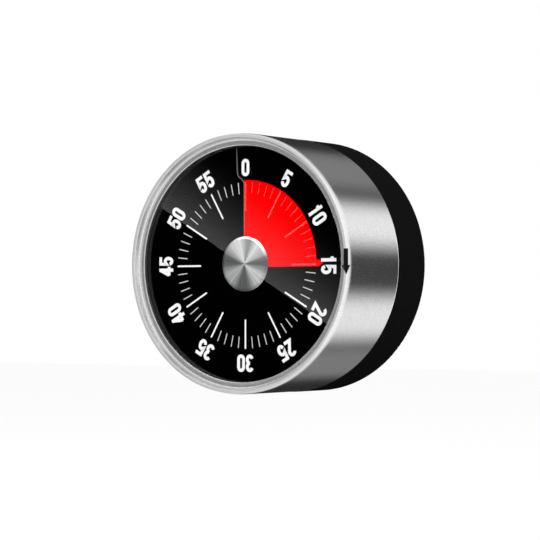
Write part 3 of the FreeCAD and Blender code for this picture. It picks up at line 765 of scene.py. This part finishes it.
def pointer_arrow(ring):
    """A black arrow printed on the ring. It lies on the lip and climbs over the bead."""
    mesh = ring.data
    skin = BVHTree.FromPolygons([v.co for v in mesh.vertices], [p.vertices for p in mesh.polygons])
    back = toward(arrow_faces, 0.0)
    across = Vector((0.0, 0.0, 1.0)).cross(back)
    middle = (arrow_head[0] + arrow_head[1]) / 2
    stations = []
    for i in range(arrow_rows + 1):
        stations.append((arrow_tail + (arrow_neck - arrow_tail) * i / arrow_rows, arrow_shaft))
    for i in range(arrow_rows + 1):
        share = i / arrow_rows
        span = [middle + (edge - middle) * (1 - share * arrow_point) for edge in arrow_head]
        stations.append((arrow_neck + (arrow_tip - arrow_neck) * share - arrow_joint, span))
    hits = []
    for z, (inner, outer) in stations:
        row = []
        for k in range(arrow_steps + 1):
            aside = inner + (outer - inner) * k / arrow_steps
            start = (across * aside + back * ring_radius * 4) * MM + point(0, z, 0)
            row.append(skin.ray_cast(start, -back)[:2])
        hits.append(row)
    # An under and an upper sheet, joined round their edges
    bm = bmesh.new()
    low, high = ([[bm.verts.new(place + normal * lift * MM) for place, normal in row] for row in hits]
                 for lift in (arrow_lift, arrow_lift + arrow_thickness))
    for rows in (low, high):
        for first, second in zip(rows, rows[1:]):
            for k in range(arrow_steps):
                bm.faces.new((first[k], first[k + 1], second[k + 1], second[k]))
    edges = [e for e in bm.edges if e.is_boundary]
    partner = {}
    for first, second in zip(low, high):
        partner.update(zip(first, second))
    for edge in edges:
        one, two = edge.verts
        if one in partner:
            bm.faces.new((one, two, partner[two], partner[one]))
    return finish_mesh("pointer_arrow", bm, "ring_assembly", black_ink)


minute_marks()
five_minute_marks()
numerals()
slit_edge()
red_film_front()
red_film_rear()
pointer_arrow(ring_shell())


# Studio

def camera():
    back = toward(camera_azimuth, camera_elevation)
    data = bpy.data.cameras.new("camera")
    made = bpy.data.objects.new("camera", data)
    bpy.context.scene.collection.objects.link(made)
    data.lens = camera_lens
    data.clip_start = 0.01
    data.clip_end = 50.0
    place = (camera_target + back * camera_distance) * MM
    right = Vector((0.0, 0.0, 1.0)).cross(back).normalized()
    up = back.cross(right)
    scale = camera_distance * data.sensor_width / (camera_lens * image_size)
    aim = camera_target + right * (image_size / 2 - target_pixel[0]) * scale
    aim = aim - up * (image_size / 2 - target_pixel[1]) * scale
    made.location = place
    made.rotation_mode = "QUATERNION"
    made.rotation_quaternion = (aim * MM - place).to_track_quat("-Z", "Y")
    bpy.context.scene.camera = made
    return place


def soft_box(name, azimuth, elevation, distance, size, watts):
    """An area light that points at the timer and doesn't show in its gloss."""
    data = bpy.data.lights.new(name, "AREA")
    data.shape = "RECTANGLE"
    data.size = size[0]
    data.size_y = size[1]
    data.energy = watts
    made = bpy.data.objects.new(name, data)
    bpy.context.scene.collection.objects.link(made)
    made.location = lights_centre + toward(azimuth, elevation) * distance
    made.rotation_mode = "QUATERNION"
    made.rotation_quaternion = (lights_centre - made.location).to_track_quat("-Z", "Y")
    made.visible_camera = False
    made.visible_glossy = False


def floor():
    """A pale floor below the timer, which hangs by its magnet."""
    bm = bmesh.new()
    half = floor_size / 2
    corners = [(-half, -half), (half, -half), (half, half), (-half, half)]
    bm.faces.new([bm.verts.new((x, y, -floor_drop * MM)) for x, y in corners])
    mesh = bpy.data.meshes.new("floor")
    bm.to_mesh(mesh)
    bm.free()
    made = bpy.data.objects.new("floor", mesh)
    bpy.context.scene.collection.objects.link(made)
    material = bpy.data.materials.new("floor_white")
    material.use_nodes = True
    nodes = Nodes(material.node_tree)
    shader = material.node_tree.nodes["Principled BSDF"]
    place = nodes.new("ShaderNodeTexCoord").outputs["Object"]
    pale = nodes.tint(nodes.noise(place, 3.0), (0.36, 0.36, 0.36), (0.38, 0.38, 0.38))
    nodes.put(shader.inputs["Base Color"], pale)
    shader.inputs["Roughness"].default_value = 0.9
    shader.inputs["Emission Color"].default_value = (1.0, 1.0, 1.0, 1.0)
    path = nodes.new("ShaderNodeLightPath")
    glow = nodes.math("MULTIPLY", path.outputs["Is Camera Ray"], floor_glow)
    nodes.put(shader.inputs["Emission Strength"], glow)
    mesh.materials.append(material)
    made.visible_glossy = False
    made.visible_transmission = False


def world(camera_place):
    """White for the camera. Gloss sees a studio: strip lights behind, a white tent at the sides and a dark
    card in front, whose slanted pale half is the glare in the lens."""
    made = bpy.data.worlds.new("studio")
    bpy.context.scene.world = made
    made.use_nodes = True
    nodes = Nodes(made.node_tree)
    made.node_tree.nodes.clear()
    way = nodes.new("ShaderNodeTexCoord").outputs["Generated"]
    parts = nodes.new("ShaderNodeSeparateXYZ")
    nodes.put(parts.inputs[0], way)
    x, y, z = parts.outputs
    phi = nodes.degrees(z, x)

    # Strip lights behind the timer, and a spot straight behind it
    back = wedges(nodes, phi, strip_base, strip_lights)
    back = nodes.math("ADD", back, nodes.ramp(y, rear_spot[0], rear_spot[1], 0.0, rear_spot[2]))

    # A white tent at the sides, brightest at the right and dimmer in front
    tent = wedges(nodes, phi, 1.0, tent_humps)
    tent = nodes.math("MULTIPLY", tent, nodes.ramp(y, *tent_front, 1.0))

    # The lens mirrors the camera's view to this direction
    lens_centre = point(0, 0, lens_front)
    mirror = Vector((camera_place.x, 2 * lens_centre.y - camera_place.y, camera_place.z))
    seen = (lens_centre - mirror).normalized()
    off = nodes.math("MULTIPLY", nodes.math("ARCCOSINE", nodes.dot(way, seen)), 180.0 / math.pi)

    # Pale half of the dark card: bright at a slanted edge, fading away from it
    edge_way = (point(*clock(1.0, glare_edge), lens_front) - lens_centre).normalized()
    edge_normal = edge_way.cross(seen).normalized()
    if edge_normal.z < 0:
        edge_normal = -edge_normal
    fade_at = point(*clock(glare_fade_radius, glare_fade_angle), lens_front)
    fade = (fade_at - mirror).normalized().dot(edge_normal)
    height = nodes.dot(way, edge_normal)
    share = nodes.math("MAXIMUM", nodes.math("SUBTRACT", 1.0, nodes.math("DIVIDE", height, fade)), 0.0)
    falling = nodes.math("MULTIPLY", nodes.math("POWER", share, glare_power), glare_level)
    lit = nodes.math("MULTIPLY", nodes.math("GREATER_THAN", height, 0.0), falling)

    # Outwards from the card: its rim, the grey collar and the tent
    up = Vector((0.0, 0.0, 1.0))
    across = seen.cross(up).normalized()
    if across.x < 0:
        across = -across
    rim = wedges(nodes, nodes.degrees(nodes.dot(way, across), z), rim_level, rim_humps)
    collar = between(nodes, nodes.ramp(off, *rim_edge), rim, collar_level)
    front = between(nodes, nodes.ramp(off, *collar_edge), collar, tent)
    card = between(nodes, nodes.ramp(off, *card_edge), lit, front)
    left = wedge(nodes, phi, 180.0, left_half_width, left_edge)
    behind = between(nodes, left, nodes.ramp(y, *tent_edge), nodes.ramp(y, *tent_edge_left))
    whole = between(nodes, behind, card, back)

    path = nodes.new("ShaderNodeLightPath")
    mirrored = nodes.math("MAXIMUM", path.outputs["Is Glossy Ray"], path.outputs["Is Transmission Ray"])
    gloss = nodes.math("MULTIPLY", mirrored, whole)
    rest = nodes.math("MULTIPLY", nodes.math("SUBTRACT", 1.0, mirrored), diffuse_sky)
    other = nodes.math("ADD", gloss, rest)
    final = between(nodes, path.outputs["Is Camera Ray"], other, backdrop_strength)
    background = nodes.new("ShaderNodeBackground")
    background.inputs["Color"].default_value = (1.0, 1.0, 1.0, 1.0)
    nodes.put(background.inputs["Strength"], final)
    output = nodes.new("ShaderNodeOutputWorld")
    nodes.put(output.inputs["Surface"], background.outputs["Background"])


camera_place = camera()
floor()
world(camera_place)
soft_box("key", -20.0, 35.0, 1.0, (0.7, 0.7), 9.0)
soft_box("fill", 60.0, 15.0, 1.0, (0.6, 0.8), 4.0)
bpy.context.scene.view_settings.view_transform = "Standard"
